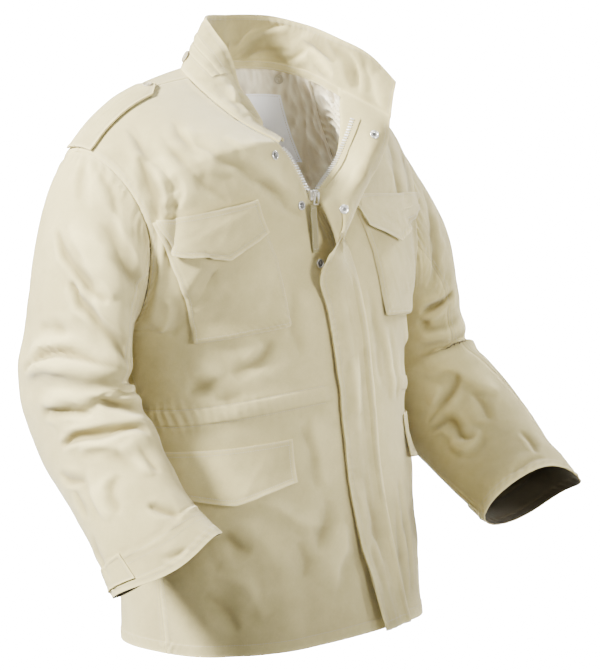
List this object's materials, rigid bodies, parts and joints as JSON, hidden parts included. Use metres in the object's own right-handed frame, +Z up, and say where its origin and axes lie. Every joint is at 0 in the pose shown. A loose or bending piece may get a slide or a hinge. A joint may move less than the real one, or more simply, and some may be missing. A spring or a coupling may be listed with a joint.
{
  "type": "field jacket",
  "caption": "Hollow cotton field jacket in worn form: stand-up collar, zip open at the neck under a storm flap, flapped chest and skirt pockets, shoulder straps, cuff tabs.",
  "frame": {"origin": "halfway between the two points where the shoulder seams meet the neck seam", "axes": "+Z up, -Y out of the front, +X to the wearer's left"},
  "size_m": [0.7203, 0.4041, 0.8353],
  "materials": {
    "khaki_cloth": "matte woven cotton sateen",
    "satin_lining": "satin with a soft sheen",
    "label_cloth": "smooth woven tape",
    "nickel": "bright nickel",
    "button_plastic": "satin"
  },
  "bodies": {
    "jacket": {"back": "khaki_cloth", "front_right": "khaki_cloth", "front_left": "khaki_cloth", "sleeve_upper_right": "khaki_cloth", "sleeve_under_right": "khaki_cloth", "sleeve_upper_left": "khaki_cloth", "sleeve_under_left": "khaki_cloth", "collar": "khaki_cloth", "storm_flap": "khaki_cloth", "chest_pocket_right": "khaki_cloth", "chest_pocket_left": "khaki_cloth", "chest_flap_right": "khaki_cloth", "chest_flap_left": "khaki_cloth", "lower_flap_right": "khaki_cloth", "lower_flap_left": "khaki_cloth", "shoulder_strap_right": "khaki_cloth", "shoulder_strap_left": "khaki_cloth", "cuff_tab_right": "khaki_cloth", "cuff_tab_left": "khaki_cloth", "liner_back": "satin_lining", "liner_left": "satin_lining", "label": "label_cloth", "zip_left": "nickel", "zip_right": "nickel", "zip_slider": "nickel", "stud_1": "nickel", "stud_2": "nickel", "stud_3": "nickel", "stud_4": "nickel", "socket_1": "nickel", "socket_2": "nickel", "collar_button_right": "button_plastic", "collar_button_left": "button_plastic", "strap_button_right": "button_plastic", "strap_button_left": "button_plastic", "liner_button": "button_plastic"},
    "zip_pull": {"zip_pull_frame": "nickel", "zip_pull_ribbon": "khaki_cloth"}
  },
  "joints": [
    {"name": "zip_pull_swing", "type": "hinge", "parent": "jacket", "child": "zip_pull", "pos_m": [-0.011, -0.13388, -0.14545], "axis": [-0.9962, 0, 0.0872], "range_deg": [0, 110]}
  ]
}
